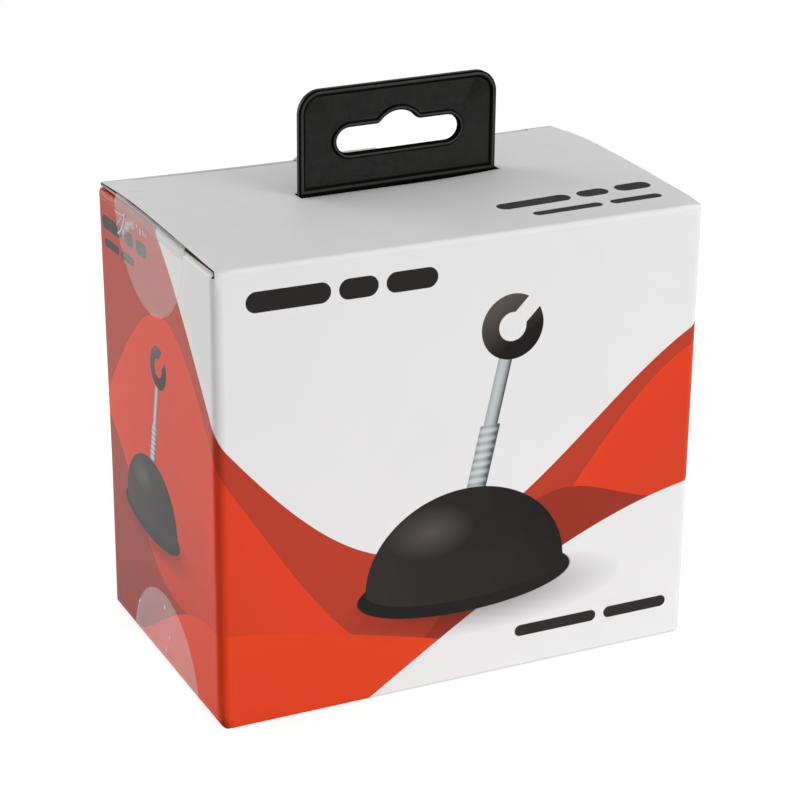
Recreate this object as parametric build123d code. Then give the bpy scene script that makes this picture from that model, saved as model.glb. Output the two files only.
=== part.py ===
from build123d import *
from dataclasses import dataclass
from math import acos, atan2, cos, degrees, hypot, pi, radians, sin
import os

# A sealed retail carton of micro-flute board, with a moulded hang tab and round film seals.
# X runs to the right, Y to the back and Z up. The origin is the middle of the face that the
# carton stands on. All sizes are in millimetres.

# Carton
pack_width = 116.0
pack_depth = 69.0
pack_height = 104.5
board = 1.2
wall_fold_radius = 2.3
# Front fold and rear fold of an end panel
hinge_fold_radius = 1.0
tuck_fold_radius = 0.5
# Open seams round an end panel, and how far the rear one runs in behind the tuck flap
panel_gap = 0.3
tuck_seam_depth = 5.0
# The back wall's cut edge lies this far under the end panel's face
back_edge_drop = 0.1
# Flat ears that the slit locks leave at both ends of the tuck fold
lock_ear_width = 7.0
lock_ear_reach = 1.2
# Thumb lip in the middle of the back wall's top edge
thumb_lip_width = 21.5
thumb_lip_rise = 0.6
thumb_lip_corner = 0.8
# Glue seam at the rear right: the back wall folds in behind the right wall's cut edge
glue_fold_radius = 1.2
cut_edge_setback = 0.4
# Top end: the panel narrows towards the back and lies on the dust flaps, over a seam that opens
# from the hinge. A slit at each front corner frees the hinge fold from the side fold.
top_front_inset = 0.6
top_rear_inset = 1.0
top_front_fold_radius = 0.6
top_rear_fold_radius = 1.8
top_seam_depth = 5.0
top_slit_depth = 1.6
# Bottom end: the carton's weight has pressed the panel in between the side folds
bottom_panel_inset = 2.6
bottom_fold_drop = 0.3
bottom_fold_radius = 2.2

# Hang tab, a little out of square
tab_width = 49.0
tab_height = 23.3
tab_corner_radius = 5.2
tab_x = 3.5
tab_y = 8.2
tab_turn = 2.8
tab_web = 0.8
tab_thickness = 1.8
edge_bead_width = 1.5
# The lower edge bead starts this far above the top panel
bead_rise = 0.2
bead_edge_bevel = 0.35
# Peg slot: a long slot with a round notch in the middle of its upper edge
slot_width = 33.0
slot_height = 7.5
slot_rise = 7.6
notch_radius = 6.0
notch_rise = 2.5
notch_blend_radius = 1.4
slot_bead_width = 1.2
# Foot that the top panel traps
foot_overhang = 5.0
foot_depth = 14.0
foot_thickness = 1.2
foot_corner_radius = 3.0
foot_clearance = 0.4
# Slit in the top panel, in which the tab has turned a little further
slit_turn = 1.6
slit_end_clearance = 0.5
slit_front_clearance = 0.9
slit_rear_clearance = 0.3

# Film seals: the disc, where its middle lies along the edge, and how far that middle is
# shifted from the edge onto the end panel
seal_diameter = 41.2
film = 0.1
top_left_seal_y = 2.7
top_left_seal_shift = -0.4
top_right_seal_y = 7.5
top_right_seal_shift = -5.8
bottom_left_seal_y = -1.0
bottom_left_seal_shift = 2.6

# Worked out from the sizes above
half_width = pack_width / 2
half_depth = pack_depth / 2
front_wall_inner = -half_depth + board
back_wall_inner = half_depth - board
tuck_face = back_wall_inner - panel_gap
panel_underside = pack_height - board
seam_floor = panel_underside - panel_gap
seal_radius = seal_diameter / 2

across = Plane.YZ
along = Plane.XZ
mid_height = Plane.XY.offset(pack_height / 2)
tab_foot = Pos(tab_x, tab_y, pack_height)
tab_place = tab_foot * Rot(0, 0, tab_turn)


@dataclass(frozen=True)
class End:
    """Sizes of one end. Both ends are drawn as the top one, and the bottom one is then mirrored."""

    # From the side wall's face to the end panel's cut side edge, at the front and at the back
    front_inset: float
    rear_inset: float
    # Side fold's face below the end panel's face, and its outer radius, at the front and at the back
    front_fold_drop: float
    rear_fold_drop: float
    front_fold_radius: float
    rear_fold_radius: float
    # How far the seam at the side runs in under the end panel
    seam_depth: float
    # Where the side folds end at the front: behind the corner slits, or at the front wall's face
    fold_front_y: float

    @property
    def panel_half_width(self):
        return half_width - self.front_inset

    @property
    def rear_half_width(self):
        return half_width - self.rear_inset

    @property
    def ear_inner_x(self):
        return self.rear_half_width - lock_ear_width


top_end = End(
    front_inset=top_front_inset,
    rear_inset=top_rear_inset,
    front_fold_drop=board,
    rear_fold_drop=board + panel_gap,
    front_fold_radius=top_front_fold_radius,
    rear_fold_radius=top_rear_fold_radius,
    seam_depth=top_seam_depth,
    fold_front_y=front_wall_inner,
)
bottom_end = End(
    front_inset=bottom_panel_inset,
    rear_inset=bottom_panel_inset,
    front_fold_drop=bottom_fold_drop,
    rear_fold_drop=bottom_fold_drop,
    front_fold_radius=bottom_fold_radius,
    rear_fold_radius=bottom_fold_radius,
    seam_depth=0,
    fold_front_y=-half_depth,
)


def span(first, second):
    """Flat rectangle between two opposite corners."""
    (x0, y0), (x1, y1) = first, second
    return Pos((x0 + x1) / 2, (y0 + y1) / 2) * Rectangle(abs(x1 - x0), abs(y1 - y0))


def rounding(corner_x, corner_y, radius, toward_x, toward_y):
    """What a fold takes off a square outside corner, with the board towards the signs."""
    centre = (corner_x + toward_x * radius, corner_y + toward_y * radius)
    return span((corner_x, corner_y), centre) - Pos(*centre) * Circle(radius)


def extrude_between(sketch, plane, start, end):
    """Prism on a plane's sketch from one distance along the plane's normal to another."""
    return extrude(plane.offset(start) * sketch, amount=end - start)


def wall_plan():
    """Plan of the four walls: three round folds, and the glue seam at the rear right."""
    plan = Rectangle(pack_width, pack_depth)
    folds = [corner for corner in plan.vertices() if corner.X < 0 or corner.Y < 0]
    plan = fillet(folds, wall_fold_radius)
    seam_x = half_width - board
    cut_edge = span((seam_x, half_depth - cut_edge_setback), (half_width, half_depth))
    return plan - cut_edge - rounding(seam_x, half_depth, glue_fold_radius, -1, -1)


def side_cuts(end, side):
    """What an end loses along one side: the board above the side fold, and the fold's outer corner."""
    wall_x = side * half_width
    seam_x = side * (end.panel_half_width - end.seam_depth)
    front_face = pack_height - end.front_fold_drop
    rear_face = pack_height - end.rear_fold_drop
    above = Polygon(
        (end.fold_front_y, front_face),
        (half_depth, rear_face),
        (half_depth, pack_height),
        (end.fold_front_y, pack_height),
        align=None,
    )
    front_corner = rounding(wall_x, front_face, end.front_fold_radius, -side, -1)
    rear_corner = rounding(wall_x, rear_face, end.rear_fold_radius, -side, -1)
    fold = loft([along.offset(-end.fold_front_y) * front_corner, along.offset(-half_depth) * rear_corner])
    return extrude_between(above, across, seam_x, wall_x), fold


def end_cuts(end):
    """What a tube of walls loses at an end: the end panel's bed, the seams and the folds' corners."""
    bed_half_width = end.panel_half_width + panel_gap
    bed = span((-bed_half_width, front_wall_inner), (bed_half_width, half_depth))
    bed += span((-end.panel_half_width, -half_depth), (end.panel_half_width, front_wall_inner))
    ear_seam = span((-bed_half_width, tuck_face), (bed_half_width, half_depth))
    tuck_seam = span((tuck_face, pack_height - tuck_seam_depth), (back_wall_inner, pack_height))
    hinge_corner = rounding(-half_depth, pack_height, hinge_fold_radius, 1, -1)
    return [
        extrude_between(bed, Plane.XY, panel_underside, pack_height),
        extrude_between(ear_seam, Plane.XY, seam_floor, panel_underside),
        extrude(across * tuck_seam, amount=end.ear_inner_x, both=True),
        extrude(across * hinge_corner, amount=half_width, both=True),
        *side_cuts(end, -1),
        *side_cuts(end, 1),
    ]


def corner_slits():
    """Slits at the top's front corners, from the hinge fold's ends to the side walls."""
    slit_floor = pack_height - top_slit_depth
    left = span((-half_width, -half_depth), (-top_end.panel_half_width, front_wall_inner))
    left_slit = extrude_between(left, Plane.XY, slit_floor, pack_height)
    return [left_slit, mirror(left_slit, Plane.YZ)]


def end_panel(end):
    """End panel with a hinge fold at the front, a tuck fold at the back and the slit locks' ears."""
    rear_y = tuck_face + lock_ear_reach
    profile = span((-half_depth, panel_underside), (tuck_face, pack_height))
    hinge_corner = profile.vertices().group_by(Axis.Y)[-1].sort_by(Axis.X)[0]
    profile = fillet(hinge_corner, hinge_fold_radius)
    tuck_corner = profile.vertices().group_by(Axis.Y)[-1].sort_by(Axis.X)[-1]
    profile = fillet(tuck_corner, tuck_fold_radius)
    panel = extrude(across * profile, amount=half_width, both=True)
    for side in (-1, 1):
        ear = span((side * end.ear_inner_x, tuck_face - tuck_fold_radius), (side * half_width, rear_y))
        panel += extrude_between(ear, Plane.XY, panel_underside, pack_height)
    plan = Polygon(
        (-end.panel_half_width, -half_depth),
        (end.panel_half_width, -half_depth),
        (end.rear_half_width, rear_y),
        (-end.rear_half_width, rear_y),
        align=None,
    )
    return panel & extrude_between(plan & wall_plan(), Plane.XY, panel_underside, pack_height)


def back_wall_edge(end, with_thumb_lip):
    """The back wall's cut edge behind the tuck fold, with or without the thumb lip."""
    low, high = pack_height - tuck_seam_depth, pack_height - back_edge_drop
    outline = span((-end.ear_inner_x, low), (end.ear_inner_x, high))
    if with_thumb_lip:
        half_lip = thumb_lip_width / 2
        lip = span((-half_lip, panel_underside), (half_lip, pack_height + thumb_lip_rise))
        outline += fillet(lip.vertices().group_by(Axis.Y)[-1], thumb_lip_corner)
    return extrude_between(outline, along, -half_depth, -back_wall_inner)


def tab_slit():
    """Slit in the top panel round the tab, and the room under it for the tab's foot."""
    swing = tab_width / 2 * abs(sin(radians(tab_turn - slit_turn)))
    half_length = tab_width / 2 + slit_end_clearance
    front = -tab_thickness / 2 - swing - slit_front_clearance
    rear = tab_thickness / 2 + swing + slit_rear_clearance
    slit = span((-half_length, front), (half_length, rear))
    pocket = offset(foot_plan(), foot_clearance)
    pocket_floor = -board - foot_thickness - foot_clearance
    room = tab_place * extrude_between(pocket, Plane.XY, pocket_floor, -board)
    return room + tab_foot * Rot(0, 0, slit_turn) * extrude_between(slit, Plane.XY, -board, 0)


def carton():
    """The folded carton: a tube of walls, shut by a panel at both ends, with a slit for the tab."""
    body = extrude(wall_plan(), amount=pack_height)
    for cut in end_cuts(top_end) + corner_slits():
        body -= cut
    for cut in end_cuts(bottom_end):
        body -= mirror(cut, mid_height)
    body += end_panel(top_end) + back_wall_edge(top_end, with_thumb_lip=True)
    body += mirror(end_panel(bottom_end) + back_wall_edge(bottom_end, with_thumb_lip=False), mid_height)
    return body - tab_slit()


def foot_plan():
    """Plan of the tab's foot."""
    return RectangleRounded(tab_width + 2 * foot_overhang, foot_depth, foot_corner_radius)


def peg_slot():
    """Outline of the peg slot, with its notch blended into the slot's upper edge."""
    middle = slot_rise + slot_height / 2
    top = slot_rise + slot_height
    notch = Pos(0, top + notch_rise - notch_radius) * Circle(notch_radius)
    notch &= span((-notch_radius, middle), (notch_radius, top + notch_rise))
    outline = Pos(0, middle) * SlotOverall(slot_width, slot_height) + notch
    blends = [corner for corner in outline.vertices() if abs(corner.X) < notch_radius]
    return fillet(blends, notch_blend_radius)


def tab_face(bottom):
    """Face of the tab from a height beside the top panel's face up to its rounded upper corners."""
    face = span((-tab_width / 2, bottom), (tab_width / 2, tab_height))
    return fillet(face.vertices().group_by(Axis.Y)[-1], tab_corner_radius)


def hang_tab():
    """Moulded hang tab: a web with beads along its edges and round the peg slot, on a trapped foot."""
    slot = peg_slot()
    raised = tab_face(bead_rise)
    edge_bead = raised - offset(raised, -edge_bead_width)
    slot_bead = offset(slot, slot_bead_width) - slot
    beads = extrude(along * (edge_bead + slot_bead), amount=tab_thickness / 2, both=True)
    faces = beads.faces().sort_by(Axis.Y)
    front_edges = [edge for face in faces.group_by(Axis.Y)[0] for edge in face.edges()]
    rear_edges = [edge for face in faces.group_by(Axis.Y)[-1] for edge in face.edges()]
    beads = chamfer(front_edges + rear_edges, bead_edge_bevel)
    web = extrude(along * (tab_face(-board) - slot), amount=tab_web / 2, both=True)
    foot = extrude_between(foot_plan(), Plane.XY, -board - foot_thickness, -board)
    return tab_place * (web + beads + foot)


def film_profile(end, sink):
    """Section of a film over the left edge: along the panel, down to the side fold, down the wall."""
    # The film clears the panel's widest part and the side fold's sharpest, both at the front. It
    # leaves the panel's edge and meets the fold on a common tangent.
    radius = end.front_fold_radius
    edge_x, edge_z = -end.panel_half_width, pack_height - sink
    fold_x, fold_z = -half_width + radius, pack_height - end.front_fold_drop - radius
    reach = hypot(edge_x - fold_x, edge_z - fold_z)
    angle = atan2(edge_z - fold_z, edge_x - fold_x) + acos(radius / reach)
    touch = (fold_x + radius * cos(angle), fold_z + radius * sin(angle))
    path = Polyline((edge_x + seal_diameter, edge_z), (edge_x, edge_z), touch)
    path += CenterArc((fold_x, fold_z), radius, degrees(angle), degrees(pi - angle))
    path += Line((-half_width, fold_z), (-half_width, pack_height - seal_diameter))
    return make_face(offset(path, film, side=Side.RIGHT))


def edge_seal(end, middle_y, shift, sink=0):
    """Round seal over the left edge of an end, sunk into the panel by a depth."""
    edge_x = -end.panel_half_width
    sheet = extrude_between(film_profile(end, sink), along, -middle_y - seal_radius, -middle_y + seal_radius)
    panel_disc = Pos(edge_x + shift, middle_y) * Circle(seal_radius)
    panel_disc &= span((edge_x, -pack_depth), (pack_width, pack_depth))
    wall_disc = Pos(middle_y, pack_height + shift) * Circle(seal_radius)
    on_panel = extrude_between(panel_disc, Plane.XY, panel_underside, pack_height + board)
    on_wall = extrude_between(wall_disc, across, -half_width - board, edge_x)
    return (sheet & on_panel) + (sheet & on_wall)


def main():
    bottom_seal = edge_seal(bottom_end, bottom_left_seal_y, bottom_left_seal_shift, sink=film)
    seal_bottom_left = mirror(bottom_seal, mid_height)
    right_seal = edge_seal(top_end, top_right_seal_y, top_right_seal_shift)
    nodes = {
        # The seal under the carton lies flush with the face that it stands on
        "carton": carton() - seal_bottom_left,
        "hang_tab": hang_tab(),
        "seal_top_left": edge_seal(top_end, top_left_seal_y, top_left_seal_shift),
        "seal_top_right": mirror(right_seal, Plane.YZ),
        "seal_bottom_left": seal_bottom_left,
    }
    os.makedirs("parts", exist_ok=True)
    for name, shape in nodes.items():
        export_step(shape, f"parts/{name}.step")


main()
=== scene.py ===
import math
from functools import reduce
from operator import or_
from typing import NamedTuple

import bmesh
import bpy
from bpy.props import FloatProperty, FloatVectorProperty, PointerProperty
from mathutils import Matrix, Vector
from mathutils.geometry import intersect_point_line


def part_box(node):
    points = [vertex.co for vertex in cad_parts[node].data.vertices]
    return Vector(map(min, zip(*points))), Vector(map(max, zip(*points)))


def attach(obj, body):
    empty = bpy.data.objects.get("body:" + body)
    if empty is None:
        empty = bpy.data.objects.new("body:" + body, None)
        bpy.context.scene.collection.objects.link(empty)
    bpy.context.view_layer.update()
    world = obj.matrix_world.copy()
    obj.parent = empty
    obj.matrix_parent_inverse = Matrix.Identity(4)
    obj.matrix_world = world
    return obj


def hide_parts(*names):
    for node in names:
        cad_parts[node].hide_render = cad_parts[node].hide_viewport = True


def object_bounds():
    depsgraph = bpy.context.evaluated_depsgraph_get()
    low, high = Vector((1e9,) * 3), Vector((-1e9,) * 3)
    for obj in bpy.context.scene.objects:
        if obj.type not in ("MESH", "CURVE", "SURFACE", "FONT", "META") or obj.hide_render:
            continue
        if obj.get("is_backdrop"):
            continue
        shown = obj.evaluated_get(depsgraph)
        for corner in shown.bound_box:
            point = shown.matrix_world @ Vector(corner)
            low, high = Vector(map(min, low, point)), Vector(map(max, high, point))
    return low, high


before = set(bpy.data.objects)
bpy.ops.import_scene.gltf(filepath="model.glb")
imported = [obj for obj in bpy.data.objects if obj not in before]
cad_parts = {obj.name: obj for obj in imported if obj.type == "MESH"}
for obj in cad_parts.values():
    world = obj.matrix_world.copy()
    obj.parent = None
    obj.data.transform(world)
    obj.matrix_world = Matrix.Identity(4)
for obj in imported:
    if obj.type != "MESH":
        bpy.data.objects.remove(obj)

# Dresses a sealed retail carton: its print, cut edges, hang tab, film seals and studio.
# Everything is in metres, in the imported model's own frame, unless a comment says millimetres.

bl_info = {
    "name": "Sealed Carton",
    "version": (1, 0, 0),
    "blender": (4, 5, 0),
    "location": "View3D > Sidebar > Carton",
    "description": "Printed board, moulded hang tab, clear film seals and a white studio",
    "category": "Object",
}

MM = 0.001
HAIR = 0.02 * MM
MERGE_REACH = HAIR / 20
FULL_TURN = 2 * math.pi
# Share of a face's normal along an axis, when the face is square to the axis and edge on to it
FACE_ON = 0.9
EDGE_ON = 0.1
SHARP_ANGLE = math.radians(32)

# The carton's own sizes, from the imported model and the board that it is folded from
cad_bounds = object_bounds()
carton_low, carton_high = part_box("carton")
FILM = 0.1 * MM
BOARD = 1.2 * MM
HALF_WIDTH = carton_high.x
HALF_DEPTH = carton_high.y
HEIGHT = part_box("seal_top_left")[1].z - FILM
PERIMETER = 4 * (HALF_WIDTH + HALF_DEPTH)
FRONT_WALL_INNER = BOARD - HALF_DEPTH
BACK_WALL_INNER = HALF_DEPTH - BOARD
CORNER_SLIT_WIDTH = 0.6 * MM
CORNER_SLIT_DEPTH = 1.6 * MM

# The hang tab, which stands a little out of square
tab_low, tab_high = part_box("hang_tab")
TAB_MIDDLE = (tab_low + tab_high) / 2
TAB_TURN = math.radians(2.8)
TAB_WIDTH = 49 * MM
TAB_THICKNESS = 1.8 * MM
TAB_HEIGHT = tab_high.z - HEIGHT
TAB_CORNER = 5.2 * MM
BEAD_RISE = 0.2 * MM
EDGE_BEAD = 1.5 * MM
SLOT_BEAD = 1.2 * MM
BEAD_TOP = 0.8 * MM
SLOT_WIDTH = 33 * MM
SLOT_HEIGHT = 7.5 * MM
SLOT_MIDDLE = 7.6 * MM + SLOT_HEIGHT / 2
NOTCH_RADIUS = 6 * MM
NOTCH_MIDDLE = 11.6 * MM
# The moulded tab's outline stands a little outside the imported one, and its slot a little inside
TAB_GROWTH = 1.016
TAB_SHIFT = -0.05 * MM
TAB_RISE = 0.37 * MM
SLOT_END_DRAW = 0.95 * MM
SLOT_SIDE_DRAW = 0.72 * MM
SLOT_SHIFT = -0.2 * MM
# The plate moves with the slot above this height, and the slot's middle keeps its width
SLOT_ZONE_FOOT = 4 * MM
NOTCH_ZONE = 8 * MM


class End(NamedTuple):
    """Sizes of one end of the carton under a film seal"""

    # From a side wall's face to the end panel's cut side edge
    panel_inset: float
    # Side fold below the face that a seal lies on, and its radius
    fold_drop: float
    fold_radius: float
    # Drop at which the film lies flat on the wall again
    fold_foot: float


TOP_END = End(0.6 * MM, BOARD, 0.6 * MM, 3.0 * MM)
BOTTOM_END = End(2.6 * MM, 0.3 * MM - FILM, 2.2 * MM, 1.6 * MM)


def ink(red, green, blue):
    """Linear colour of an eight-bit screen colour."""

    def linear(level):
        share = level / 255
        return share / 12.92 if share <= 0.04045 else ((share + 0.055) / 1.055) ** 2.4

    return (linear(red), linear(green), linear(blue))


def scaled(colour, share):
    return tuple(channel * share for channel in colour)


def colour_property(name, description, default):
    return FloatVectorProperty(
        name=name, description=description, default=default, subtype="COLOR", size=3, min=0, max=1
    )


def share_property(name, description, default):
    return FloatProperty(
        name=name, description=description, default=default, subtype="FACTOR", min=0, max=1
    )


def length_property(name, description, default):
    return FloatProperty(
        name=name,
        description=description,
        default=default,
        unit="LENGTH",
        subtype="DISTANCE",
        precision=5,
    )


def power_property(name, description, default):
    return FloatProperty(name=name, description=description, default=default, unit="POWER")


class BoardSettings(bpy.types.PropertyGroup):
    """Inks, finish and warp of the printed board"""

    white: colour_property("White", "Coated face of the board", ink(238, 237, 237))
    brick: colour_property("Brick", "Tallest wave", ink(190, 62, 40))
    vermilion: colour_property("Vermilion", "Second wave", ink(231, 66, 33))
    russet: colour_property("Russet", "Third wave", ink(158, 50, 32))
    orange: colour_property("Orange", "Lowest wave", ink(230, 68, 26))
    line_ink: colour_property("Line ink", "Printed bars", ink(36, 34, 33))
    # Kraft brown of the cut flute, darkened with painted shade of the cut edge
    core: colour_property("Core", "Cut flute between the liners", ink(58, 44, 35))
    liner: colour_property("Liner", "Cut edge of the liners", ink(196, 184, 168))
    roughness: share_property("Roughness", "Paper under the lamination", 0.55)
    wall_gloss: share_property("Wall gloss", "Lamination on the walls", 0.34)
    fold_gloss: share_property("Fold gloss", "Lamination left on the side folds", 0.1)
    roof_gloss: share_property("Roof gloss", "Rubbed lamination on the top panel", 0.03)
    right_bow: length_property("Right bow", "Rise of the top panel at its right edge", 1.9 * MM)
    left_bow: length_property("Left bow", "Rise of the top panel at its left edge", 0.85 * MM)
    flare: length_property("Flare", "Lean of the left wall's rear edge at the top", 0.85 * MM)


class TabSettings(bpy.types.PropertyGroup):
    """Moulded plastic of the hang tab"""

    web: colour_property("Web", "Flat of the plate", ink(17, 16, 15))
    # Painted highlight on the crests of the beads
    crest_highlight: colour_property("Bead", "Worn top of the beads", ink(48, 46, 44))
    # Painted shade on the bevels, the slot's wall and the feet of the beads
    crevice_shade: colour_property("Crevice", "Bevels and the feet of the beads", ink(15, 15, 14))
    roughness: share_property("Roughness", "Matte moulded face", 0.5)


class SealSettings(bpy.types.PropertyGroup):
    """Clear film of the edge seals"""

    stand_off: length_property("Stand-off", "Glue line between the board and the film", 0.03 * MM)
    thickness: length_property("Thickness", "Film gauge", 0.05 * MM)
    roughness: share_property("Roughness", "Gloss of the film", 0.12)
    fold_haze: share_property("Fold haze", "White bloom where the film bends over the edge", 0.16)


class StageSettings(bpy.types.PropertyGroup):
    """Camera and lamps of the white studio"""

    lens: FloatProperty(
        name="Lens", description="Focal length in millimetres", default=109.54, unit="CAMERA"
    )
    key_power: power_property("Key", "Front right softbox", 11.1)
    side_power: power_property("Side", "Rear left softbox", 8.7)
    fill: share_property("Fill", "Room light on matte surfaces", 0.55)


class Value:
    """A number on a shader socket. Arithmetic on it adds Math nodes."""

    def __init__(self, shader, socket):
        self.shader = shader
        self.socket = socket

    def math(self, operation, *others, clamp=False):
        return self.shader.math(operation, self, *others, clamp=clamp)

    def __add__(self, other):
        return self.math("ADD", other)

    def __sub__(self, other):
        return self.math("SUBTRACT", other)

    def __rsub__(self, other):
        return self.shader.math("SUBTRACT", other, self)

    def __mul__(self, other):
        return self.math("MULTIPLY", other)

    def __truediv__(self, other):
        return self.math("DIVIDE", other)

    def __pow__(self, other):
        return self.math("POWER", other)

    def __gt__(self, other):
        return self.math("GREATER_THAN", other)

    def __lt__(self, other):
        return self.math("LESS_THAN", other)

    def __or__(self, other):
        return self.math("MAXIMUM", other)

    def __and__(self, other):
        return self.math("MINIMUM", other)

    def __neg__(self):
        return self.math("MULTIPLY", -1)

    def __abs__(self):
        return self.math("ABSOLUTE")

    __radd__ = __add__
    __rmul__ = __mul__

    def sign(self):
        return self.math("SIGN")

    def root(self):
        return self.math("SQRT")

    def cosine(self):
        return self.math("COSINE")

    def clamped(self):
        return self.math("ADD", 0, clamp=True)


class Shader:
    """A node tree. Arithmetic comes from Value, and every other node from node()."""

    def __init__(self, tree):
        self.tree = tree
        tree.nodes.clear()

    def node(self, kind, settings, sockets):
        node = self.tree.nodes.new(kind)
        for name, setting in settings.items():
            setattr(node, name, setting)
        for name, entry in sockets.items():
            socket = node.inputs[name]
            if isinstance(entry, Value):
                self.tree.links.new(entry.socket, socket)
            elif isinstance(entry, bpy.types.NodeSocket):
                self.tree.links.new(entry, socket)
            elif socket.type == "RGBA" and len(entry) == 3:
                socket.default_value = (*entry, 1)
            else:
                socket.default_value = entry
        return node

    def math(self, operation, *entries, clamp=False):
        settings = {"operation": operation, "use_clamp": clamp}
        node = self.node("ShaderNodeMath", settings, dict(enumerate(entries)))
        return Value(self, node.outputs[0])

    def number(self, kind, settings, sockets, output):
        return Value(self, self.node(kind, settings, sockets).outputs[output])

    def place(self):
        """Object coordinates as a vector socket and three numbers."""
        coordinates = self.node("ShaderNodeTexCoord", {}, {}).outputs["Object"]
        return coordinates, self.parts(coordinates)

    def attribute(self, name):
        """A vector that the mesh carries, as a socket and three numbers."""
        vector = self.node("ShaderNodeAttribute", {"attribute_name": name}, {}).outputs["Vector"]
        return vector, self.parts(vector)

    def share(self, name):
        """A number that the mesh carries."""
        return self.number("ShaderNodeAttribute", {"attribute_name": name}, {}, "Fac")

    def parts(self, vector):
        split = self.node("ShaderNodeSeparateXYZ", {}, {"Vector": vector})
        return [Value(self, output) for output in split.outputs]

    def facing(self):
        """The flat face's own normal as three numbers."""
        return self.parts(self.node("ShaderNodeNewGeometry", {}, {}).outputs["True Normal"])

    def noise(self, vector, scale, detail=2.0, roughness=0.5):
        sockets = {"Vector": vector, "Scale": scale, "Detail": detail, "Roughness": roughness}
        return self.number("ShaderNodeTexNoise", {}, sockets, "Fac")

    def paint(self, ground, colour, mask):
        """A colour over a ground where the mask is one."""
        settings = {"data_type": "RGBA", "clamp_factor": True}
        return self.node("ShaderNodeMix", settings, {0: mask, 6: ground, 7: colour}).outputs[2]

    def bump(self, height, distance):
        sockets = {"Height": height, "Distance": distance, "Strength": 1}
        return self.node("ShaderNodeBump", {}, sockets).outputs["Normal"]

    def diffuse(self, colour):
        return self.node("ShaderNodeBsdfDiffuse", {}, {"Color": colour})

    def blend(self, share, first, second):
        """Two shaders in one: the first where the share is zero, the second where it is one."""
        sockets = {0: share, 1: first.outputs[0], 2: second.outputs[0]}
        return self.node("ShaderNodeMixShader", {}, sockets)

    def surface(self, node, kind="ShaderNodeOutputMaterial"):
        self.node(kind, {}, {"Surface": node.outputs[0]})


def new_material(name):
    """An empty material and its shader."""
    material = bpy.data.materials.new(name)
    material.use_nodes = True
    return material, Shader(material.node_tree)


PRINT_EDGE = 0.12 * MM


def inside(distance, softness=PRINT_EDGE):
    """Mask that is one where a distance is negative, with a soft edge."""
    return (0.5 - distance / softness).clamped()


def ease(number, start, end):
    """Zero before start, one after end, and even between them."""
    return ((number - start) / (end - start)).clamped()


def length_of(across, up):
    return (across * across + up * up).root()


def oval(across, up, half_length, half_height):
    """How far out a point lies in an oval about the origin: one on its outline."""
    return length_of(across / half_length, up / half_height)


def pill_distance(across, up, length, height):
    """Distance outside a bar with round ends about the origin."""
    past_end = (abs(across) - (length - height) / 2) | 0
    return length_of(past_end, up) - height / 2


def wrap_round(x, y):
    """Distance round the walls from the front left fold, to the right as seen from outside."""
    side = x.sign()
    reach = (y + HALF_DEPTH) + y.sign() * (HALF_WIDTH - abs(x))
    return side * reach + (side + 1) * HALF_WIDTH


def swell_line(around, mean, swells):
    """Height of a wave's crest line. Each swell has a rise, a count round the carton and a lead."""
    height = mean
    for rise, count, lead in swells:
        height = height + rise * ((around + lead) * (FULL_TURN * count / PERIMETER)).cosine()
    return height


# Reach of the worn lamination, and of the painted light and shade, on both sides of the front left
# fold
FOLD_WEAR_AND_SHADE = 2 * MM


def paint_waves(shader, around, up, settings):
    """Waves on white round all four walls, darker below their crests.

    Along the front left fold the white is painted brighter and the reds darker, as painted light and
    shade on the fold.
    """
    waves = [
        (settings.brick, 66 * MM, [(30 * MM, 2, 52 * MM), (14 * MM, 1, 60 * MM)]),
        (settings.vermilion, 48 * MM, [(28 * MM, 2, 40 * MM), (12 * MM, 3, 20 * MM)]),
        (settings.russet, 26 * MM, [(18 * MM, 2, 75 * MM), (8 * MM, 5, 0)]),
        (settings.orange, 14 * MM, [(13 * MM, 3, -10 * MM), (6 * MM, 4, 30 * MM)]),
    ]
    fade = 60 * MM
    deepest = 0.76
    # Painted light and shade along the front left fold: whiter white and deeper reds
    fold_wear_and_shade = inside(abs(around) - FOLD_WEAR_AND_SHADE / 2, FOLD_WEAR_AND_SHADE) * 0.8
    ground = shader.paint(settings.white, ink(252, 251, 250), fold_wear_and_shade)
    for colour, mean, swells in waves:
        crest = swell_line(around, mean, swells)
        depth = ((crest - up) / fade).clamped() | fold_wear_and_shade
        wave = shader.paint(colour, scaled(colour, deepest), depth)
        ground = shader.paint(ground, wave, inside(up - crest))
    shore = swell_line(around, 2 * MM, [(38 * MM, 1, -130 * MM)])
    return shader.paint(ground, settings.white, inside(up - shore))


# Left and foot of the two pictures, round the walls and above the floor, and their scale
HOLDERS = [(58.6 * MM, 17.0 * MM, 1), (-40.4 * MM, 28.8 * MM, 0.66)]


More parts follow.
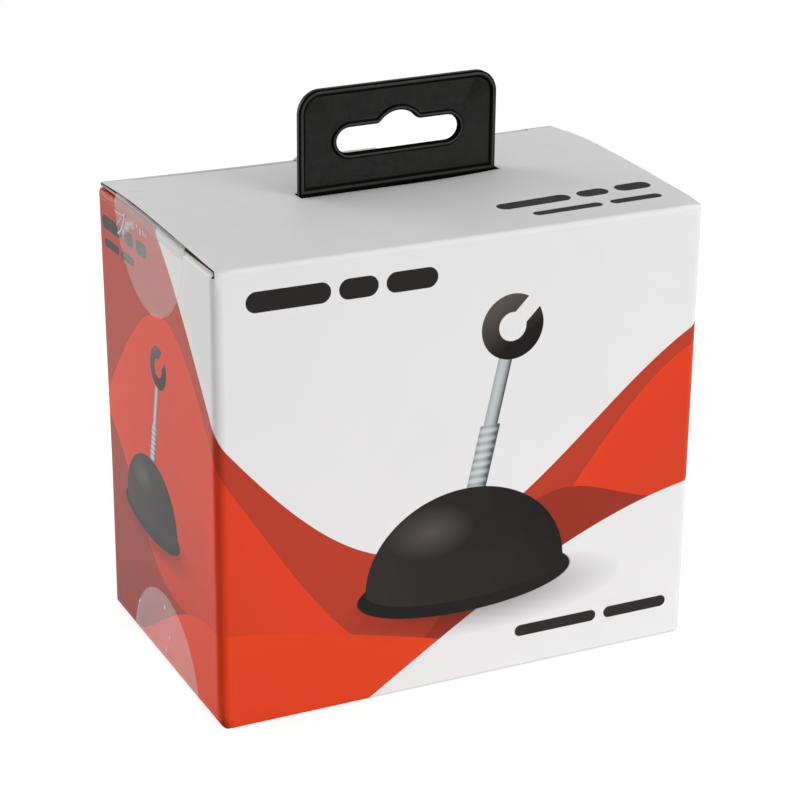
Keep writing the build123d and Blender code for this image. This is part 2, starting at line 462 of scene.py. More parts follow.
def paint_holder(shader, ground, across, up):
    """Generic picture of a desk cable holder: a low dome, a sprung arm and an open ring."""
    charcoal = ink(46, 42, 40)
    charcoal_lit = ink(92, 86, 82)
    charcoal_deep = ink(24, 22, 21)
    steel = ink(206, 210, 211)
    steel_deep = ink(84, 90, 92)
    arm_foot = 20 * MM
    arm_lean = 0.22
    ring_up = 66 * MM

    # Soft shadow on the ground
    shade = 1 - oval(across - 4 * MM, up - 3 * MM, 36 * MM, 9 * MM)
    ground = shader.paint(ground, ink(20, 14, 12), (shade * 1.6).clamped() * 0.5)

    # Arm: a leaning rod with a spring at its foot
    rod_radius = 1.7 * MM
    spring_wire = 0.7 * MM
    spring_pitch = 1.9 * MM
    spring_top = 44 * MM
    sprung = up < spring_top
    coil = (up * (FULL_TURN / spring_pitch)).cosine() * 0.22 * sprung
    half_arm = rod_radius + sprung * spring_wire
    off_axis = across - (up - arm_foot) * arm_lean
    roundness = (off_axis / half_arm + 0.25) ** 2
    arm = inside(abs(off_axis) - half_arm) * (up > arm_foot) * (up < ring_up - 5 * MM)
    arm_colour = shader.paint(steel, steel_deep, (roundness * 0.75 + coil + 0.12).clamped())
    ground = shader.paint(ground, arm_colour, arm)

    # Dome and the ring that it stands on
    foot_height = 7 * MM
    foot = inside((oval(across, up - foot_height, 26.5 * MM, foot_height) - 1) * foot_height)
    ground = shader.paint(ground, charcoal_deep, foot)
    dome_half = 24.5 * MM
    dome_rise = 21 * MM
    dome_sag = 6 * MM
    dome_up = up - 9 * MM
    upper = (oval(across, dome_up, dome_half, dome_rise) - 1) * dome_rise
    lower = (oval(across, dome_up, dome_half, dome_sag) - 1) * dome_sag
    dome = inside(upper) * (dome_up > 0) | inside(lower)
    turned = ease(across + dome_up * 0.3, -22 * MM, 24 * MM)
    dome_colour = shader.paint(charcoal, charcoal_deep, turned)
    gleam = 1 - oval(across + 9 * MM, dome_up - 12 * MM, 11 * MM, 6.5 * MM)
    dome_colour = shader.paint(dome_colour, charcoal_lit, ease(gleam, 0, 1.2))
    ground = shader.paint(ground, dome_colour, dome)

    # Ring at the arm's tip, open at its upper right
    ring_radius = 5.4 * MM
    half_ring = 2.1 * MM
    half_gap = 1.9 * MM
    ring_across = across - (ring_up - arm_foot) * arm_lean
    ring_rise = up - ring_up
    toward_gap = (ring_across + ring_rise) * math.sqrt(0.5)
    beside_gap = (ring_across - ring_rise) * math.sqrt(0.5)
    gap = inside(abs(beside_gap) - half_gap) * (toward_gap > 0)
    ring = inside(abs(length_of(ring_across, ring_rise) - ring_radius) - half_ring) * (1 - gap)
    lit_side = ease(ring_rise - ring_across * 0.6, -4 * MM, 9 * MM)
    ring_colour = shader.paint(charcoal_deep, charcoal_lit, lit_side)
    return shader.paint(ground, ring_colour, ring)


class BarRow(NamedTuple):
    """Row of printed bars, in millimetres"""

    # Left end and middle line: round the walls and above the floor, or x and y on the roof
    left: float
    up: float
    height: float
    gap: float
    lengths: tuple


# Two rows on the front wall and two on the left wall
WALL_BARS = [
    BarRow(7, 96.9, 4.6, 1.8, (19, 9, 12)),
    BarRow(71.4, 9.2, 2.8, 2.1, (21, 16.5)),
    BarRow(-66, 96.3, 3.1, 1.4, (12, 5.6, 6.6)),
    BarRow(-65.1, 91.7, 1.9, 1.4, (9, 7.6)),
]
ROOF_BARS = [
    BarRow(14.8, -18.4, 4.2, 2, (18, 7.6, 8.8)),
    BarRow(19.8, -25.8, 2.6, 2.2, (17, 12.8)),
]


def bar_rows(across, up, rows):
    """Mask of rows of bars, each row laid end to end from its left end."""
    bars = []
    for row in rows:
        left = row.left
        for length in row.lengths:
            from_middle = across - (left + length / 2) * MM
            from_line = up - row.up * MM
            bars.append(inside(pill_distance(from_middle, from_line, length * MM, row.height * MM)))
            left += length + row.gap
    return reduce(or_, bars)


def bar_mask(x, y, z, around):
    """Plain bars where a carton carries its lines of print."""
    on_roof = z > HEIGHT - BOARD / 2
    return on_roof * bar_rows(x, y, ROOF_BARS) | (1 - on_roof) * bar_rows(around, z, WALL_BARS)


def paint_print(shader, x, y, z, around, settings):
    """Waves, pictures and bars on the walls, and bars on the white roof."""
    colour = paint_waves(shader, around, z, settings)
    for left, foot, scale in HOLDERS:
        colour = paint_holder(shader, colour, (around - left) / scale, (z - foot) / scale)
    colour = shader.paint(colour, settings.white, z > HEIGHT - BOARD)
    return shader.paint(colour, settings.line_ink, bar_mask(x, y, z, around))


def paint_marks(shader, colour, coordinates, x, y, z, around):
    """Grey bloom and specks as handling marks, painted shade before the tab, and the front left fold's
    bottom tip painted darker brown.
    """
    bloom = shader.noise(coordinates, 34, 4.0, 0.6)
    colour = shader.paint(colour, ink(120, 116, 112), (bloom - 0.5).clamped() * 0.12)

    # Only the cells with the highest numbers hold a speck
    fewest = 0.86
    sockets = {"Vector": coordinates, "Scale": 95}
    cells = shader.node("ShaderNodeTexVoronoi", {"feature": "F1"}, sockets)
    number = Value(shader, cells.outputs["Color"])
    from_middle = Value(shader, cells.outputs["Distance"])
    specks = inside(from_middle - (number - fewest) * 0.25, 0.02) * (number > fewest)
    colour = shader.paint(colour, ink(120, 108, 98), specks * 0.5)

    # Painted shade on the top panel just before the hang tab, darkest at the slit and fading within a
    # few millimetres
    tab_front = TAB_MIDDLE.y - TAB_THICKNESS / 2
    before_tab = tab_front - y + (x - TAB_MIDDLE.x) * math.tan(TAB_TURN)
    past_tab_side = abs(x - TAB_MIDDLE.x) - TAB_WIDTH / 2
    tab_shade = (1 - ease(before_tab, 0.4 * MM, 4 * MM)) * (before_tab > 0)
    tab_shade = tab_shade * (1 - ease(past_tab_side, -1 * MM, 2 * MM))
    on_roof = z > HEIGHT - BOARD
    colour = shader.paint(colour, ink(96, 90, 86), tab_shade * tab_shade * on_roof * 0.5)

    # Darker brown at the bottom tip of the front left fold
    tip = 1 - ease(length_of(around, z), 0.5 * MM, 3.4 * MM)
    return shader.paint(colour, ink(70, 34, 22), tip * (0.4 + 0.8 * bloom))


def cut_edge_mask(x, y, z, facing):
    """Raw cuts: the end panels' side edges and ears, the tab's slit and the glue seam."""
    nx, ny, _ = facing
    slit_reach = 8 * MM
    in_panel = (z > HEIGHT - BOARD - HAIR) | (z < BOARD + HAIR)
    side_cuts = (abs(nx) > FACE_ON) * (abs(x) < HALF_WIDTH - HAIR)
    ear_cuts = (ny > FACE_ON) * (y > BACK_WALL_INNER) * (y < HALF_DEPTH - HAIR)
    slit_cuts = (abs(ny) > FACE_ON) * (abs(y - TAB_MIDDLE.y) < slit_reach)
    glue_seam = (ny > FACE_ON) * (x > HALF_WIDTH - BOARD) * (y < HALF_DEPTH - HAIR)
    return in_panel * (side_cuts | ear_cuts | slit_cuts) | glue_seam


def cut_edge_colour(shader, coordinates, y, z, settings):
    """Dark brown flute, its kraft deepened with painted shade, over the pale inner liner. At both ends
    the flute has closed to a thin line.
    """
    closed = 0.35 * MM
    opening = 0.55 * MM
    depth = (HEIGHT - z) & z
    fibre = shader.noise(coordinates, 2600, 3.0, 0.6)
    core = shader.paint(scaled(settings.core, 0.5), settings.core, fibre)
    open_share = ease(y, -34 * MM, -20 * MM) * (1 - ease(y, 12 * MM, 34 * MM))
    inner = ease(depth - (closed + opening * open_share), -0.06 * MM, 0.1 * MM)
    to_front = 1 - ease(y, -30 * MM, 10 * MM)
    pale = shader.paint(settings.liner, ink(222, 218, 213), to_front)
    return shader.paint(core, pale, inner * (0.7 + 0.5 * fibre))


def corner_slit_mask(x, y, z):
    """Inside of the slits that free the top panel's hinge fold from the side folds."""
    beside = abs(x) > HALF_WIDTH - CORNER_SLIT_WIDTH - HAIR
    return beside * (y < FRONT_WALL_INNER + HAIR) * (z > HEIGHT - CORNER_SLIT_DEPTH - HAIR)


def side_fold_drop(y, z):
    """How far a point of a side wall lies below its top fold's foot or above its bottom fold's."""
    front_foot = 1.8 * MM
    rear_gain = 1.5 * MM
    bottom_foot = 2.5 * MM
    top_foot = front_foot + rear_gain * ease(y, -HALF_DEPTH, HALF_DEPTH)
    return (HEIGHT - z - top_foot) & (z - bottom_foot)


def board_material(settings):
    """Printed and laminated board, rubbed along its folds, with raw cut edges."""
    material, shader = new_material("printed_board_print")
    coordinates, (x, y, z) = shader.attribute("flat")
    facing = shader.facing()
    around = wrap_round(x, y)

    colour = paint_print(shader, x, y, z, around, settings)
    colour = shader.paint(colour, settings.brick, facing[2] < -FACE_ON)
    colour = paint_marks(shader, colour, coordinates, x, y, z, around)
    past_foot = side_fold_drop(y, z)
    on_side = abs(x) > HALF_WIDTH - 0.4 * MM
    # A thin line at the foot of the side folds painted whiter, as a painted highlight along the crease
    crease_highlight = inside(abs(past_foot) - 0.1 * MM, 0.16 * MM) * on_side
    colour = shader.paint(colour, settings.white, crease_highlight * 0.2)

    # Cut board: raw edges, the bare top edge of the back wall, and the insides of the corner slits
    # painted near black as painted shade
    raw = cut_edge_mask(x, y, z, facing)
    back_edge = (y > BACK_WALL_INNER - HAIR) * (z > HEIGHT - BOARD / 2) * (1 - raw)
    slits = corner_slit_mask(x, y, z)
    colour = shader.paint(colour, ink(222, 219, 215), back_edge)
    colour = shader.paint(colour, cut_edge_colour(shader, coordinates, y, z, settings), raw)
    # Painted shade: the insides of the corner slits are near black
    colour = shader.paint(colour, scaled(settings.core, 0.4), slits)
    cut = raw | back_edge | slits

    rub = shader.noise(coordinates, 210, 3.0, 0.55)
    cut_roughness = 0.9
    roughness = (settings.roughness + (rub - 0.5) * 0.1) * (1 - cut) + cut * cut_roughness
    on_roof = z > HEIGHT - BOARD
    on_fold = on_side * (past_foot < 0)
    wall_gloss = settings.wall_gloss + on_fold * (settings.fold_gloss - settings.wall_gloss)
    # Rubbed lamination along the front left fold, whose print also carries painted light and shade
    fold_wear_and_shade = inside(abs(around) - FOLD_WEAR_AND_SHADE, FOLD_WEAR_AND_SHADE) * 0.85
    gloss = wall_gloss * (1 - on_roof) * (1 - fold_wear_and_shade) + on_roof * settings.roof_gloss
    swell = shader.noise(coordinates, 26, 1.0)
    paper = shader.noise(coordinates, 3200, 2.0) * 0.006
    board = shader.node(
        "ShaderNodeBsdfPrincipled",
        {},
        {
            "Base Color": colour,
            "Roughness": roughness,
            "Normal": shader.bump(swell + paper, 0.3 * MM),
            "Specular IOR Level": 0.05,
            "Coat Weight": gloss * (1 - cut),
            "Coat Roughness": 0.22,
        },
    )
    shader.surface(board)
    return material


def tab_material(settings):
    """Matte black moulding, with painted highlights on the crests of the beads and painted shade in
    the crevices along the beads.
    """
    material, shader = new_material("tab_plastic_moulded")
    coordinates, (x, y, z) = shader.attribute("packed")
    nx, ny, _ = shader.facing()
    cosine, sine = math.cos(TAB_TURN), math.sin(TAB_TURN)
    along = (x - TAB_MIDDLE.x) * cosine + (y - TAB_MIDDLE.y) * sine
    out = (y - TAB_MIDDLE.y) * cosine - (x - TAB_MIDDLE.x) * sine
    up = z - HEIGHT
    facing_out = abs(ny * cosine - nx * sine)

    past_side = abs(along) - (TAB_WIDTH / 2 - TAB_CORNER)
    past_top = up - (TAB_HEIGHT - TAB_CORNER)
    from_edge = TAB_CORNER - length_of(past_side | 0, past_top | 0) - ((past_side | past_top) & 0)
    from_edge = from_edge & (up - BEAD_RISE)
    slot_rise = up - SLOT_MIDDLE
    notch = length_of(along, up - NOTCH_MIDDLE) - NOTCH_RADIUS
    from_slot = pill_distance(along, slot_rise, SLOT_WIDTH, SLOT_HEIGHT) & (notch | -slot_rise)

    # Painted highlight on the crests along the outer side of each of the beads, and painted shade from
    # there to their feet
    foot_line = 0.06 * MM
    edge_crest = 0.95 * MM
    slot_crest = 0.85 * MM
    on_edge = inside(from_edge - EDGE_BEAD - foot_line)
    on_slot = inside(from_slot - SLOT_BEAD - foot_line)
    near_crest = inside(from_edge - edge_crest) | inside(from_slot - slot_crest)
    crest = near_crest * (facing_out > FACE_ON) * (abs(out) > BEAD_TOP)
    # The slot's wall and the bevels are painted dark as shade
    slot_wall = (facing_out < EDGE_ON) * (from_slot < SLOT_BEAD) * (from_edge > EDGE_BEAD)
    bevel = (facing_out > EDGE_ON) * (facing_out < FACE_ON)
    bead_shade = (on_edge | on_slot) * (facing_out > FACE_ON) * (1 - crest) | slot_wall | bevel

    mottle = shader.noise(coordinates, 620, 4.0, 0.7)
    grain = shader.noise(coordinates, 2400, 2.0, 0.6)
    mottle_share = ease(mottle, 0.36, 0.74)
    colour = shader.paint(scaled(settings.web, 0.7), scaled(settings.web, 2.1), mottle_share)
    colour = shader.paint(colour, settings.crest_highlight, crest)
    plastic = shader.node(
        "ShaderNodeBsdfPrincipled",
        {},
        {
            "Base Color": colour,
            "Roughness": settings.roughness + (mottle - 0.5) * 0.3,
            "Normal": shader.bump(grain, 0.04 * MM),
            "Specular IOR Level": 0.14,
        },
    )
    # Painted shade: bevels, slot wall and the feet of the beads take the dark crevice colour
    shader.surface(shader.blend(bead_shade, plastic, shader.diffuse(settings.crevice_shade)))
    return material


def film_material(settings):
    """Clear film with a gloss that grows at a slant, and white where it has lifted: milky bloom
    together with painted glints along its ridges.
    """
    material, shader = new_material("seal_film_clear")
    coordinates, _ = shader.place()
    white = shader.share("white")
    milk = shader.share("milk")
    bend = shader.share("bend")
    gleam = shader.share("gleam")
    straight_on = 0.04
    slant = shader.number("ShaderNodeLayerWeight", {}, {"Blend": 0.5}, "Facing")
    gloss_share = (straight_on + (1 - straight_on) * slant**5) * (gleam | white)
    cloud = shader.noise(coordinates, 420, 3.0, 0.6)
    clear = shader.node("ShaderNodeBsdfTransparent", {}, {"Color": (1, 1, 1)})
    gloss = shader.node(
        "ShaderNodeBsdfGlossy",
        {},
        {
            "Color": (1, 1, 1),
            "Roughness": settings.roughness,
            "Normal": shader.bump(cloud, 0.01 * MM),
        },
    )
    film = shader.blend(gloss_share, clear, gloss)
    # White bloom of lifted film, which also holds the ridges' painted glints
    haze = (milk + settings.fold_haze * bend) * (0.6 + 0.8 * cloud) + white * (0.5 + cloud)
    shader.surface(shader.blend(haze.clamped(), film, shader.diffuse(ink(244, 244, 244))))
    return material


def between(number, start, end):
    """A plain number's share of the way from start to end, held between zero and one."""
    return min(max((number - start) / (end - start), 0), 1)


def smooth(share):
    return share * share * (3 - 2 * share)


class Bow(NamedTuple):
    """Rise of the top panel along one side, where the dust flap pushes at it from below"""

    # Where the rise starts across the panel, its highest place along the edge, and how far it runs
    # from there to the front and to the back
    start_x: float
    peak_y: float
    front_reach: float
    rear_reach: float

    def share(self, x, y):
        past_peak = y - self.peak_y
        reach = self.front_reach if past_peak < 0 else self.rear_reach
        along = max(1 - (abs(past_peak) / reach) ** 1.5, 0)
        return smooth(between(x, self.start_x, HALF_WIDTH)) * along


RIGHT_BOW = Bow(8 * MM, 14.5 * MM, 53 * MM, 29.4 * MM)
LEFT_BOW = Bow(18 * MM, 17 * MM, 48 * MM, 23 * MM)
BOW_FOOT = HEIGHT - 30 * MM
# The left side fold stays up as far as the back wall, also where the panel comes down
FOLD_INNER = HALF_WIDTH - 3 * MM
FOLD_OUTER = HALF_WIDTH - 0.8 * MM
FOLD_TOP = HEIGHT - BOARD + 0.1 * MM
# The left wall's rear edge leans out above this height
FLARE_FOOT = 37 * MM
FLARE_START = 20 * MM
# The upper right front corner has been knocked in
KNOCK_PLACE = Vector((HALF_WIDTH, -HALF_DEPTH, HEIGHT))
KNOCK_REACH = 3.6 * MM
KNOCK = Vector((-0.15 * MM, 0.1 * MM, -0.35 * MM))


def warped(point, settings):
    """Where a point of the square carton lies on the real one, whose board has bowed and flared."""
    x, y, z = point
    left = LEFT_BOW.share(-x, y)
    if z < FOLD_TOP:
        fold = smooth(between(y, -HALF_DEPTH, LEFT_BOW.peak_y))
        left = max(left, fold * between(-x, FOLD_INNER, FOLD_OUTER))
    rise = settings.right_bow * RIGHT_BOW.share(x, y) + settings.left_bow * left
    lean = settings.flare * between(z, FLARE_FOOT, HEIGHT) * between(y, 0, HALF_DEPTH) ** 2
    out = lean * between(-x, FLARE_START, HALF_WIDTH)
    knock = KNOCK * smooth(1 - between((point - KNOCK_PLACE).length, 0, KNOCK_REACH))
    return point + Vector((-out, 0, rise * between(z, BOW_FOOT, HEIGHT))) + knock


def add_piece(name, bm):
    """Object at the origin from a finished bmesh."""
    mesh = bpy.data.meshes.new(name)
    bm.to_mesh(mesh)
    bm.free()
    mesh.shade_smooth()
    piece = bpy.data.objects.new(name, mesh)
    bpy.context.scene.collection.objects.link(piece)
    return piece


def stand_for(piece, node):
    """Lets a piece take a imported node's place."""
    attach(piece, "root")
    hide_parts(node)


def packed_copy(node):
    """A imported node's mesh with its loose triangles joined."""
    bm = bmesh.new()
    bm.from_mesh(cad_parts[node].data)
    bmesh.ops.remove_doubles(bm, verts=bm.verts, dist=MERGE_REACH)
    return bm


def shade_flats(piece):
    """Keeps flat faces flat beside rounded ones."""
    piece.data.set_sharp_from_angle(angle=SHARP_ANGLE)
    shading = piece.modifiers.new("flat_faces", "WEIGHTED_NORMAL")
    shading.keep_sharp = True


def board_shell(settings):
    """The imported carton's shape, cut fine enough to warp. Its flat places are kept for the print."""
    bm = packed_copy("carton")
    pitch = 5.7 * MM
    for axis, low, high in zip(Matrix.Identity(3), carton_low, carton_high):
        cuts = math.floor((high - low) / pitch)
        for cut in range(1, cuts):
            spot = axis * (low + (high - low) * cut / cuts)
            geometry = [*bm.verts, *bm.edges, *bm.faces]
            bmesh.ops.bisect_plane(
                bm, geom=geometry, dist=MERGE_REACH, plane_co=spot, plane_no=axis
            )
    flat = bm.verts.layers.float_vector.new("flat")
    for vert in bm.verts:
        vert[flat] = vert.co
        vert.co = warped(vert.co, settings)
    piece = add_piece("carton_board", bm)
    shade_flats(piece)
    return piece


def moulded(along, up):
    """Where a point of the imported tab's face lies on the moulded one."""
    if up < -BOARD / 2:
        return along, up
    beside_slot = abs(along) < SLOT_WIDTH / 2 + 2 * SLOT_BEAD
    if beside_slot and SLOT_ZONE_FOOT < up < TAB_HEIGHT - 2 * EDGE_BEAD:
        end = math.copysign(between(abs(along), NOTCH_ZONE, SLOT_WIDTH / 2), along)
        side = min(max((up - SLOT_MIDDLE) / (SLOT_HEIGHT / 2), -1), 1)
        return along - end * SLOT_END_DRAW + SLOT_SHIFT, up - side * SLOT_SIDE_DRAW
    return along * TAB_GROWTH + TAB_SHIFT, up + between(up, 0, TAB_HEIGHT) * TAB_RISE


def tab_moulding():
    """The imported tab's own shape with its outline and slot as moulded."""
    bm = packed_copy("hang_tab")
    packed = bm.verts.layers.float_vector.new("packed")
    foot = Vector((TAB_MIDDLE.x, TAB_MIDDLE.y, HEIGHT))
    turn = Matrix.Rotation(TAB_TURN, 3, "Z")
    for vert in bm.verts:
        vert[packed] = vert.co
        along, out, up = turn.transposed() @ (vert.co - foot)
        along, up = moulded(along, up)
        vert.co = foot + turn @ Vector((along, out, up))
    piece = add_piece("hang_tab_moulding", bm)
    shade_flats(piece)
    return piece


class Ridge(NamedTuple):
    """Lifted fold in a film, from one point to another"""

    # Each point is its place along the edge and its drop below the end panel's face
    start: Vector
    stop: Vector
    half_width: float
    rise: float
    # Share of white along the ridge: milky lifted film with painted glints on it
    white: float


def ridge_lines(*rows):
    """Ridges from rows of millimetres: half width, rise, whiteness, and the points of a line."""
    ridges = []
    for half_width, rise, white, *points in rows:
        places = [Vector(point) * MM for point in points]
        for start, stop in zip(places, places[1:]):
            ridges.append(Ridge(start, stop, half_width * MM, rise * MM, white))
    return ridges


class Seal(NamedTuple):
    """Looks of one seal"""

    # Share of gloss, and shares of white bloom on the wall, on the panel and along the rim
    gleam: float
    wall_milk: float
    panel_milk: float
    rim: float
    ridges: list


SEALS = {
    "seal_top_left": Seal(
        gleam=0.3,
        wall_milk=0.05,
        panel_milk=0.006,
        rim=0.08,
        ridges=ridge_lines(
            (0.3, 0.1, 0.5, (24.1, 3.9), (21.0, 3.9), (17.7, 3.6)),
            (0.36, 0.15, 0.85, (17.4, 3.2), (17.4, 4.0), (17.9, 5.0), (18.8, 6.5), (20.2, 7.8)),
            (0.36, 0.15, 0.85, (20.2, 7.8), (22.0, 8.8), (22.6, 9.7), (21.3, 9.8)),
            (0.28, 0.12, 0.6, (19.4, 4.5), (20.8, 5.7), (22.4, 7.0), (23.0, 7.7)),
            (1.5, 0.08, 0.4, (16.4, 5.0), (11.8, 3.9)),
            (1.3, 0.08, 0.4, (17.2, 6.2), (14.8, 5.5)),
            (1.0, 0.08, 0.4, (18.6, 7.4), (17.6, 7.1)),
            (0.45, 0.05, 0.9, (10.0, 3.5), (9.5, 3.9)),
            (0.45, 0.05, 0.95, (7.9, 3.8), (7.7, 4.9)),
            (0.45, 0.05, 0.95, (6.0, 3.8), (5.8, 4.6)),
            (0.4, 0.05, 0.9, (4.7, 4.1), (4.4, 4.4)),
        ),
    ),
    "seal_top_right": Seal(
        gleam=0.08,
        wall_milk=0.03,
        panel_milk=0.0,
        rim=0.0,
        ridges=ridge_lines(
            (3.4, 0.05, 0.05, (11.0, -11.6), (16.0, -11.0)),
            (1.0, 0.12, 0.2, (1.0, 4.0), (3.0, 4.4)),
        ),
    ),
    "seal_bottom_left": Seal(
        gleam=0.3,
        wall_milk=0.1,
        panel_milk=0.05,
        rim=0.12,
        ridges=ridge_lines(
            (0.55, 0.03, 1.0, (16.1, 8.8), (15.7, 10.2)),
            (0.4, 0.02, 0.9, (-0.7, 14.4), (-1.0, 15.1)),
            (0.4, 0.02, 0.9, (-3.2, 7.7), (-3.4, 8.4)),
            (0.4, 0.02, 0.8, (-1.2, 4.0), (-1.3, 4.6)),
            (0.3, 0.04, 0.4, (18.0, 3.0), (16.8, 8.4), (15.6, 11.2), (9.8, 16.2), (4.7, 18.0)),
        ),
    ),
}
SEAL_CELLS = 180
RIM_WIDTH = 0.25 * MM
# Share of its gloss that a film keeps on the bend and on the end panel, where it is rubbed
RUBBED_GLEAM = 0.1


def fold_film(reach, end):
    """Point of the board under a film over an edge, and the way out there.

    The reach runs onto the end panel, or down the wall where it is negative. The point is given
    as its distance out from the carton's middle and its drop below the panel's face.
    """
    edge = Vector((HALF_WIDTH - end.panel_inset, 0))
    if reach >= 0:
        return edge - Vector((reach, 0)), Vector((0, -1))
    drop = -reach
    radius = end.fold_radius
    centre = Vector((HALF_WIDTH - radius, end.fold_drop + radius))
    if drop >= centre.y:
        return Vector((HALF_WIDTH, drop)), Vector((1, 0))
    span = edge - centre
    turn = math.atan2(-span.y, span.x) - math.acos(radius / span.length)
    touch = centre + radius * Vector((math.cos(turn), -math.sin(turn)))
    if drop >= touch.y:
        across = math.sqrt(max(radius**2 - (centre.y - drop) ** 2, 0))
        out = Vector((across, drop - centre.y))
        return centre + out, out.normalized()
    return edge.lerp(touch, drop / touch.y), (touch - centre).normalized()


def nearness(spot, ridge):
    """One on a ridge's line and zero at its sides."""
    nearest, share = intersect_point_line(spot, ridge.start, ridge.stop)
    if share < 0:
        nearest = ridge.start
    elif share > 1:
        nearest = ridge.stop
    return max(1 - (spot - nearest.to_2d()).length / ridge.half_width, 0)


def film_seal(node, seal, settings, board):
    """Round film folded over one edge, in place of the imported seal."""
    low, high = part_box(node)
    middle = (low + high) / 2
    side = math.copysign(1, middle.x)
    upper = middle.z > HEIGHT / 2
    end = TOP_END if upper else BOTTOM_END
    up = 1 if upper else -1
    radius = (high.y - low.y) / 2
    face = high.z - FILM if upper else low.z + FILM
    inner_x = min(abs(low.x), abs(high.x))
    shift = HALF_WIDTH - end.panel_inset - inner_x - radius

    bm = bmesh.new()
    bmesh.ops.create_grid(bm, x_segments=SEAL_CELLS, y_segments=SEAL_CELLS, size=1)
    white_layer = bm.verts.layers.float.new("white")
    milk_layer = bm.verts.layers.float.new("milk")
    bend_layer = bm.verts.layers.float.new("bend")
    gleam_layer = bm.verts.layers.float.new("gleam")
    for vert in bm.verts:
        # A square sheet drawn in to a disc
        u, v, _ = vert.co
        across = u * math.sqrt(1 - v * v / 2) * radius
        along = v * math.sqrt(1 - u * u / 2) * radius
        reach = shift + across
        spot = Vector((middle.y + along, -reach))
        in_rim = between(radius - math.hypot(across, along), 0, RIM_WIDTH)
        white = seal.rim * (1 - in_rim)
        rise = 0
        # Ridges add lift and white, the white holding painted glints
        for ridge in seal.ridges:
            near = smooth(nearness(spot, ridge))
            white = max(white, ridge.white * near)
            rise = max(rise, ridge.rise * near)
        vert[white_layer] = white
        vert[milk_layer] = seal.panel_milk if reach > 0 else seal.wall_milk
        vert[bend_layer] = 0 < -reach < end.fold_foot
        kept = 1 if -reach > end.fold_foot else RUBBED_GLEAM
        vert[gleam_layer] = seal.gleam * kept * in_rim
        point, out = fold_film(reach, end)
        point = point + out * (settings.stand_off + rise)
        vert.co = warped(Vector((side * point.x, middle.y + along, face - up * point.y)), board)
    bm.normal_update()
    if sum(f.normal.z * up + f.normal.x * side for f in bm.faces) < 0:
        bmesh.ops.reverse_faces(bm, faces=bm.faces)
    piece = add_piece(node + "_film", bm)
    wall = piece.modifiers.new("thickness", "SOLIDIFY")
    wall.thickness = settings.thickness
    wall.offset = 1
    return piece


class CARTON_OT_print_board(bpy.types.Operator):
    """Warp and print the carton and finish its cut edges"""

    bl_idname = "carton.print_board"
    bl_label = "Print Board"
    bl_options = {"REGISTER", "UNDO"}

    def execute(self, context):
        settings = context.scene.carton_board
        piece = board_shell(settings)
        piece.data.materials.append(board_material(settings))
        stand_for(piece, "carton")
        return {"FINISHED"}


class CARTON_OT_mould_tab(bpy.types.Operator):
    """Mould the hang tab in matte black plastic"""

    bl_idname = "carton.mould_tab"
    bl_label = "Mould Hang Tab"
    bl_options = {"REGISTER", "UNDO"}

    def execute(self, context):
        piece = tab_moulding()
        piece.data.materials.append(tab_material(context.scene.carton_tab))
        stand_for(piece, "hang_tab")
        return {"FINISHED"}


class CARTON_OT_lay_seals(bpy.types.Operator):
    """Lay the clear film seals over their edges"""

    bl_idname = "carton.lay_seals"
    bl_label = "Lay Film Seals"
    bl_options = {"REGISTER", "UNDO"}

    def execute(self, context):
        settings = context.scene.carton_seals
        material = film_material(settings)
        for node, seal in SEALS.items():
            piece = film_seal(node, seal, settings, context.scene.carton_board)
            piece.data.materials.append(material)
            stand_for(piece, node)
        return {"FINISHED"}


# The camera's place and turn, fitted to the carton's corners in the photograph
CAMERA_PLACE = (-225.18 * MM, -467.04 * MM, 260.28 * MM)
CAMERA_AZIMUTH = math.radians(-25.806)
CAMERA_ELEVATION = math.radians(21.569)
CAMERA_ROLL = math.radians(0.599)


def set_camera(scene, lens):
    back = Vector(
        (
            math.sin(CAMERA_AZIMUTH) * math.cos(CAMERA_ELEVATION),
            -math.cos(CAMERA_AZIMUTH) * math.cos(CAMERA_ELEVATION),
            math.sin(CAMERA_ELEVATION),
        )
    )
    right = Vector((math.cos(CAMERA_AZIMUTH), math.sin(CAMERA_AZIMUTH), 0))
    axes = Matrix((right, back.cross(right), back)).transposed()
    data = bpy.data.cameras.new("camera")
    data.lens = lens
    camera = bpy.data.objects.new("camera", data)
    roll = Matrix.Rotation(CAMERA_ROLL, 3, "Z")
    camera.matrix_world = Matrix.Translation(CAMERA_PLACE) @ (axes @ roll).to_4x4()
    scene.collection.objects.link(camera)
    scene.camera = camera


# Ways from the carton's middle to its two softboxes, and the sizes of their square faces
KEY_WAY = (0.5, -0.85, 0.12)
KEY_SIZE = 0.7
SIDE_WAY = (-0.6, 0.78, 0.145)
SIDE_SIZE = 0.6
LAMP_DISTANCE = 1.2


def softbox(scene, name, way, size, power):
    """Square area lamp that looks at the carton's middle."""
    target = Vector((0, 0, HEIGHT / 2))
    toward = Vector(way).normalized()
    data = bpy.data.lights.new(name, "AREA")
    data.shape = "SQUARE"
    data.size = size
    data.energy = power
    lamp = bpy.data.objects.new(name, data)
    turn = toward.to_track_quat("Z", "Y").to_matrix().to_4x4()
    lamp.matrix_world = Matrix.Translation(target + toward * LAMP_DISTANCE) @ turn
    lamp.visible_camera = False
    scene.collection.objects.link(lamp)


def seen_rays(shader):
    """Masks of the rays that show the background: straight, by gloss and through something."""
    path = shader.node("ShaderNodeLightPath", {}, {})
    camera = Value(shader, path.outputs["Is Camera Ray"])
    glossy = Value(shader, path.outputs["Is Glossy Ray"])
    through = Value(shader, path.outputs["Is Transmission Ray"])
    return camera, glossy, through


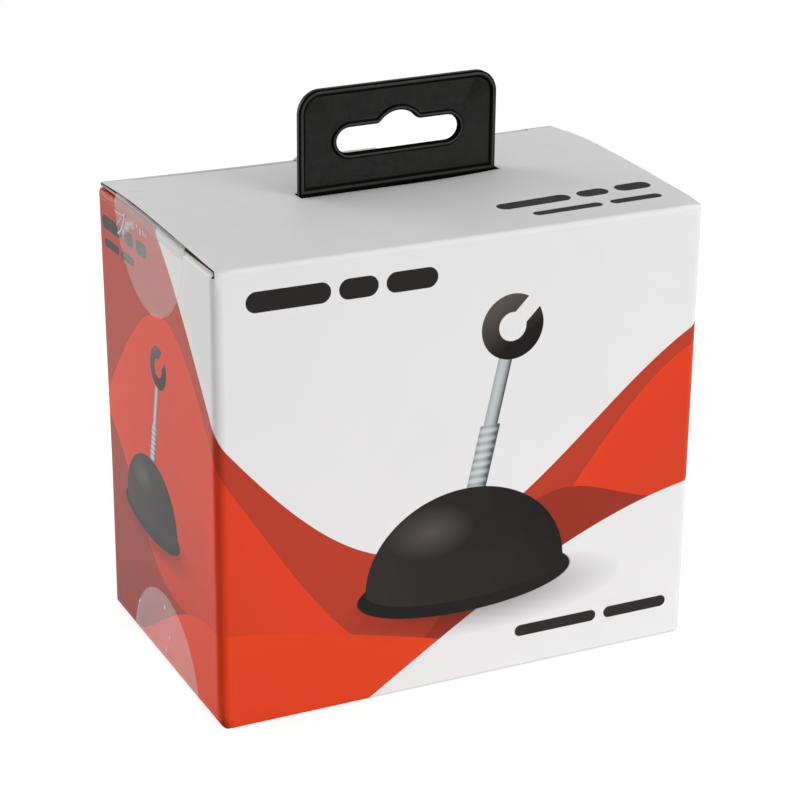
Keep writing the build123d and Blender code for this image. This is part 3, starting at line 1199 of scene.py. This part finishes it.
def white_room(scene, fill):
    """Plain white world that is dimmer as a light than as a background."""
    world = bpy.data.worlds.new("white_room")
    world.use_nodes = True
    scene.world = world
    shader = Shader(world.node_tree)
    camera, glossy, through = seen_rays(shader)
    level = fill + (camera | glossy | through) * (1 - fill)
    room = shader.node("ShaderNodeBackground", {}, {"Color": (1, 1, 1), "Strength": level})
    shader.surface(room, "ShaderNodeOutputWorld")


# The floor runs out from a grey that takes the carton's shadow to plain white
FLOOR_RADIUS = 4
FLOOR_DROP = 0.1 * MM
SWEEP_START = 0.16
SWEEP_END = 0.5


def floor_material():
    """White sweep that keeps the carton's shadow near it and runs out to plain white."""
    material, shader = new_material("white_sweep")
    _, (x, y, _) = shader.place()
    camera, glossy, through = seen_rays(shader)
    out = ease(length_of(x, y), SWEEP_START, SWEEP_END)
    behind = ease(y, -0.12, 0.08)
    near_glow = 0.7
    level = (camera | through | glossy * behind) * (near_glow + (1 - near_glow) * out)
    ground = shader.blend(out, shader.diffuse(ink(208, 208, 208)), shader.diffuse((0, 0, 0)))
    glow = shader.node("ShaderNodeEmission", {}, {"Color": (1, 1, 1), "Strength": level})
    both = {0: ground.outputs[0], 1: glow.outputs[0]}
    shader.surface(shader.node("ShaderNodeAddShader", {}, both))
    return material


def lay_floor():
    bm = bmesh.new()
    bmesh.ops.create_circle(bm, cap_ends=True, segments=64, radius=FLOOR_RADIUS)
    bmesh.ops.translate(bm, vec=(0, 0, -FLOOR_DROP), verts=bm.verts)
    floor = add_piece("floor", bm)
    floor.data.materials.append(floor_material())
    floor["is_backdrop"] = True


class CARTON_OT_set_stage(bpy.types.Operator):
    """Set the white studio: floor, room light, softboxes and camera"""

    bl_idname = "carton.set_stage"
    bl_label = "Set Stage"
    bl_options = {"REGISTER", "UNDO"}

    def execute(self, context):
        scene = context.scene
        settings = scene.carton_stage
        lay_floor()
        white_room(scene, settings.fill)
        softbox(scene, "key_softbox", KEY_WAY, KEY_SIZE, settings.key_power)
        softbox(scene, "side_softbox", SIDE_WAY, SIDE_SIZE, settings.side_power)
        set_camera(scene, settings.lens)
        scene.view_settings.view_transform = "Standard"
        return {"FINISHED"}


class CARTON_PT_sidebar(bpy.types.Panel):
    """Lists the carton's settings and operators"""

    bl_label = "Sealed Carton"
    bl_idname = "CARTON_PT_sidebar"
    bl_space_type = "VIEW_3D"
    bl_region_type = "UI"
    bl_category = "Carton"

    def draw(self, context):
        for group, operator in STEPS:
            box = self.layout.box()
            settings = getattr(context.scene, group)
            for name in settings.__annotations__:
                box.prop(settings, name)
            box.operator(operator.bl_idname)


SETTINGS = {
    "carton_board": BoardSettings,
    "carton_tab": TabSettings,
    "carton_seals": SealSettings,
    "carton_stage": StageSettings,
}
STEPS = [
    ("carton_board", CARTON_OT_print_board),
    ("carton_tab", CARTON_OT_mould_tab),
    ("carton_seals", CARTON_OT_lay_seals),
    ("carton_stage", CARTON_OT_set_stage),
]
CLASSES = [*SETTINGS.values(), *(operator for _, operator in STEPS), CARTON_PT_sidebar]


def register():
    for cls in CLASSES:
        bpy.utils.register_class(cls)
    for name, group in SETTINGS.items():
        setattr(bpy.types.Scene, name, PointerProperty(type=group))


def unregister():
    for name in SETTINGS:
        delattr(bpy.types.Scene, name)
    for cls in reversed(CLASSES):
        bpy.utils.unregister_class(cls)


def main():
    register()
    bpy.ops.carton.print_board()
    bpy.ops.carton.mould_tab()
    bpy.ops.carton.lay_seals()
    bpy.ops.carton.set_stage()
    boxes = {"cad": cad_bounds, "visual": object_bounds()}
    plain = {name: [list(corner) for corner in box] for name, box in boxes.items()}


if __name__ == "__main__":
    main()
